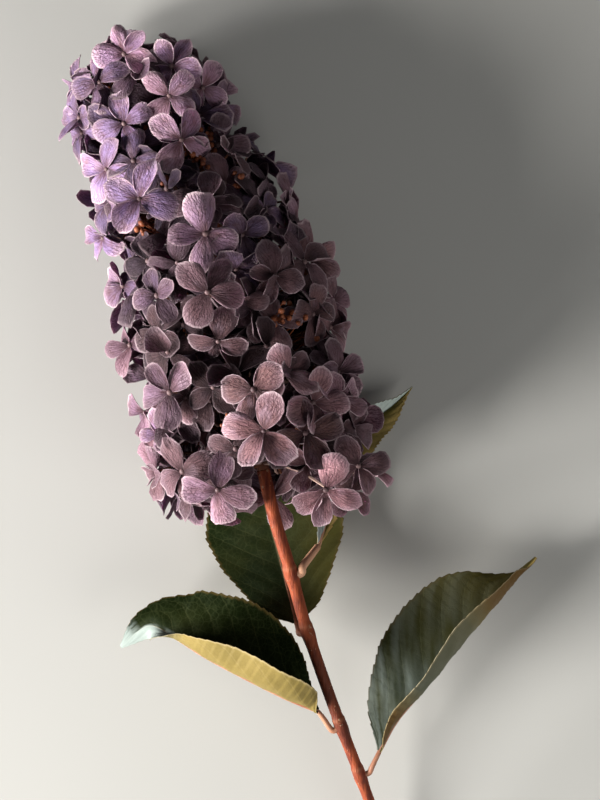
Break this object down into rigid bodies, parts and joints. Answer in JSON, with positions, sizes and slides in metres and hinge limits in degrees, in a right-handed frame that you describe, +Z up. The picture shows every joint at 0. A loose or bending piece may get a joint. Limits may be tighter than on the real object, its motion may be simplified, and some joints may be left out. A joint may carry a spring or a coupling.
{
  "type": "panicle hydrangea flower head",
  "caption": "Cut panicle hydrangea branch lying on its side: a cone-shaped head crowded with flat florets on a woody stem with toothed leaves.",
  "frame": {"origin": "on the surface that the branch lies on, under the middle of the branch's length and width", "axes": "+Y from the cut end of the stem towards the tip of the head, +X to the right as seen from above, +Z up from the surface"},
  "size_m": [0.1924, 0.3522, 0.0956],
  "materials": {
    "petal": "matte",
    "bark": "satin",
    "leaf": "satin"
  },
  "bodies": {
    "root": {"flower_head": "petal", "stem": "bark", "leaf_left": "leaf", "leaf_back": "leaf", "leaf_upper_right": "leaf", "leaf_right": "leaf"}
  },
  "joints": []
}
